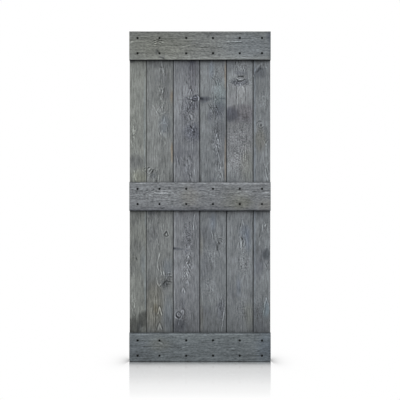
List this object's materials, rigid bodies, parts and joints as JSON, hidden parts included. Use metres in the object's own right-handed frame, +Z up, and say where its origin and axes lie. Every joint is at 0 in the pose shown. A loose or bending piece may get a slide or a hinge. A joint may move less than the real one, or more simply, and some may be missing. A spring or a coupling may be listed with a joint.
{
  "type": "barn door slab",
  "caption": "Ledged sliding barn door slab: grey-stained tongue-and-groove pine boards screwed to flat cross rails, to be hung from hangers at its top edge.",
  "frame": {"origin": "middle of the door's top edge, on the plane where the rails lie on the boards, half way through the slab", "axes": "+Z up along the boards, +X across the door from left to right, +Y from the front with the rails to the plain back"},
  "size_m": [0.9144, 0.0408, 2.1336],
  "materials": {
    "board_wood": "matte",
    "rail_wood": "matte",
    "black_screw": "satin"
  },
  "bodies": {
    "root": {"board_1": "board_wood", "board_2": "board_wood", "board_3": "board_wood", "board_4": "board_wood", "board_5": "board_wood", "board_6": "board_wood", "top_rail": "rail_wood", "middle_rail": "rail_wood", "bottom_rail": "rail_wood", "top_rail_screws_board_1": "black_screw", "top_rail_screws_board_2": "black_screw", "top_rail_screws_board_3": "black_screw", "top_rail_screws_board_4": "black_screw", "top_rail_screws_board_5": "black_screw", "top_rail_screws_board_6": "black_screw", "middle_rail_screws_board_1": "black_screw", "middle_rail_screws_board_2": "black_screw", "middle_rail_screws_board_3": "black_screw", "middle_rail_screws_board_4": "black_screw", "middle_rail_screws_board_5": "black_screw", "middle_rail_screws_board_6": "black_screw", "bottom_rail_screws_board_1": "black_screw", "bottom_rail_screws_board_2": "black_screw", "bottom_rail_screws_board_3": "black_screw", "bottom_rail_screws_board_4": "black_screw", "bottom_rail_screws_board_5": "black_screw", "bottom_rail_screws_board_6": "black_screw"}
  },
  "joints": []
}
